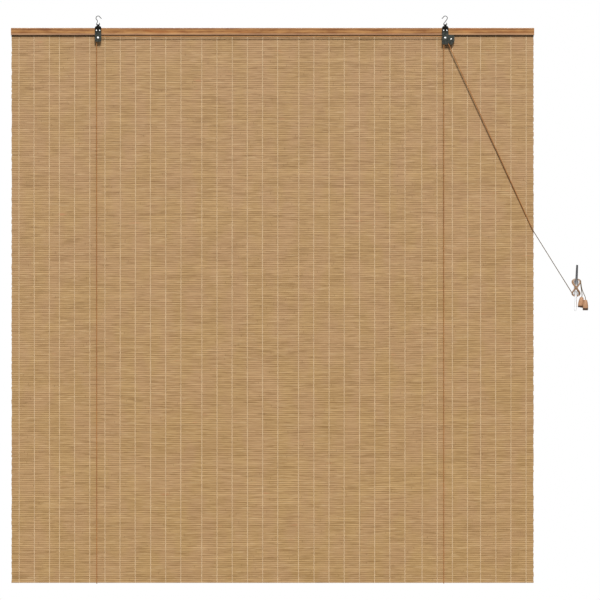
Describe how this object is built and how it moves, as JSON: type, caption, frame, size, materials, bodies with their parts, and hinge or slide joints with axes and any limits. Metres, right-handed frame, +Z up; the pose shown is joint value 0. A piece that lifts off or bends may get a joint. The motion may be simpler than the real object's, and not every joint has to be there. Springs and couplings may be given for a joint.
{
  "type": "bamboo roll-up blind",
  "caption": "Bamboo roll-up blind hung by wire hooks: a thread-bound reed mat on a head rail, with lift cords over pulley blocks, a toothed cord lock and a wall cleat.",
  "frame": {"origin": "midway between the two points where the hooks hang, on the hanging line", "axes": "+Z up, +X to the right as seen from the front of the blind, +Y to the back, towards the wall"},
  "size_m": [1.655, 0.0366, 1.6287],
  "materials": {
    "rail_wood": "planed and lightly varnished",
    "bamboo": "split reeds, dull to satin",
    "warp_thread": "twisted cotton thread",
    "dark_plate": "dark zinc grey, satin",
    "bright_steel": "bright",
    "sheave_plastic": "dull",
    "steel_wire": "drawn wire",
    "cord": "braided",
    "cleat_metal": "nickel plated",
    "tassel_wood": "turned, pale, oiled"
  },
  "bodies": {
    "blind": {"head_rail": "rail_wood", "bamboo_mat": "bamboo", "front_warp_threads": "warp_thread", "back_warp_threads": "warp_thread", "bottom_batten": "rail_wood", "head_staples": "steel_wire", "left_strap": "dark_plate", "right_strap": "dark_plate", "left_screws": "bright_steel", "right_screws": "bright_steel", "left_sleeves": "bright_steel", "right_sleeves": "bright_steel", "left_axle": "bright_steel", "right_axle": "bright_steel", "cam_pivot": "bright_steel", "left_bush": "sheave_plastic", "left_lift_cord": "cord", "right_lift_cord": "cord", "cord_anchors": "steel_wire", "cleat": "cleat_metal", "cord_turns": "cord", "left_pull_cord": "cord", "right_pull_cord": "cord", "left_cord_end": "cord", "right_cord_end": "cord", "left_tassel": "tassel_wood", "right_tassel": "tassel_wood"},
    "left_sheave": {"left_sheave": "sheave_plastic"},
    "rear_sheave": {"rear_sheave": "sheave_plastic"},
    "front_sheave": {"front_sheave": "sheave_plastic"},
    "lock_cam": {"lock_cam": "dark_plate"},
    "left_hook": {"left_hook": "steel_wire"},
    "right_hook": {"right_hook": "steel_wire"}
  },
  "joints": [
    {"name": "left_sheave_spin", "type": "hinge", "parent": "blind", "child": "left_sheave", "pos_m": [-0.4975, 0.00195, -0.0614], "axis": [0, 1, 0], "continuous": true},
    {"name": "rear_sheave_spin", "type": "hinge", "parent": "blind", "child": "rear_sheave", "pos_m": [0.4975, 0.00195, -0.0614], "axis": [0, 1, 0], "continuous": true},
    {"name": "front_sheave_spin", "type": "hinge", "parent": "blind", "child": "front_sheave", "pos_m": [0.4975, -0.00195, -0.0614], "axis": [0, 1, 0], "continuous": true},
    {"name": "lock_cam_swing", "type": "hinge", "parent": "blind", "child": "lock_cam", "pos_m": [0.514, 0, -0.0651], "axis": [0, -1, 0], "range_deg": [0, 60]},
    {"name": "left_hook_swing", "type": "hinge", "parent": "blind", "child": "left_hook", "pos_m": [-0.4975, 0, -0.0224], "axis": [0, 1, 0], "range_deg": [-60, 60]},
    {"name": "right_hook_swing", "type": "hinge", "parent": "blind", "child": "right_hook", "pos_m": [0.4975, 0, -0.0224], "axis": [0, 1, 0], "range_deg": [-60, 60]}
  ],
  "couplings": [
    {"joint": "rear_sheave_spin", "follows": "left_sheave_spin", "ratio": 1}
  ]
}
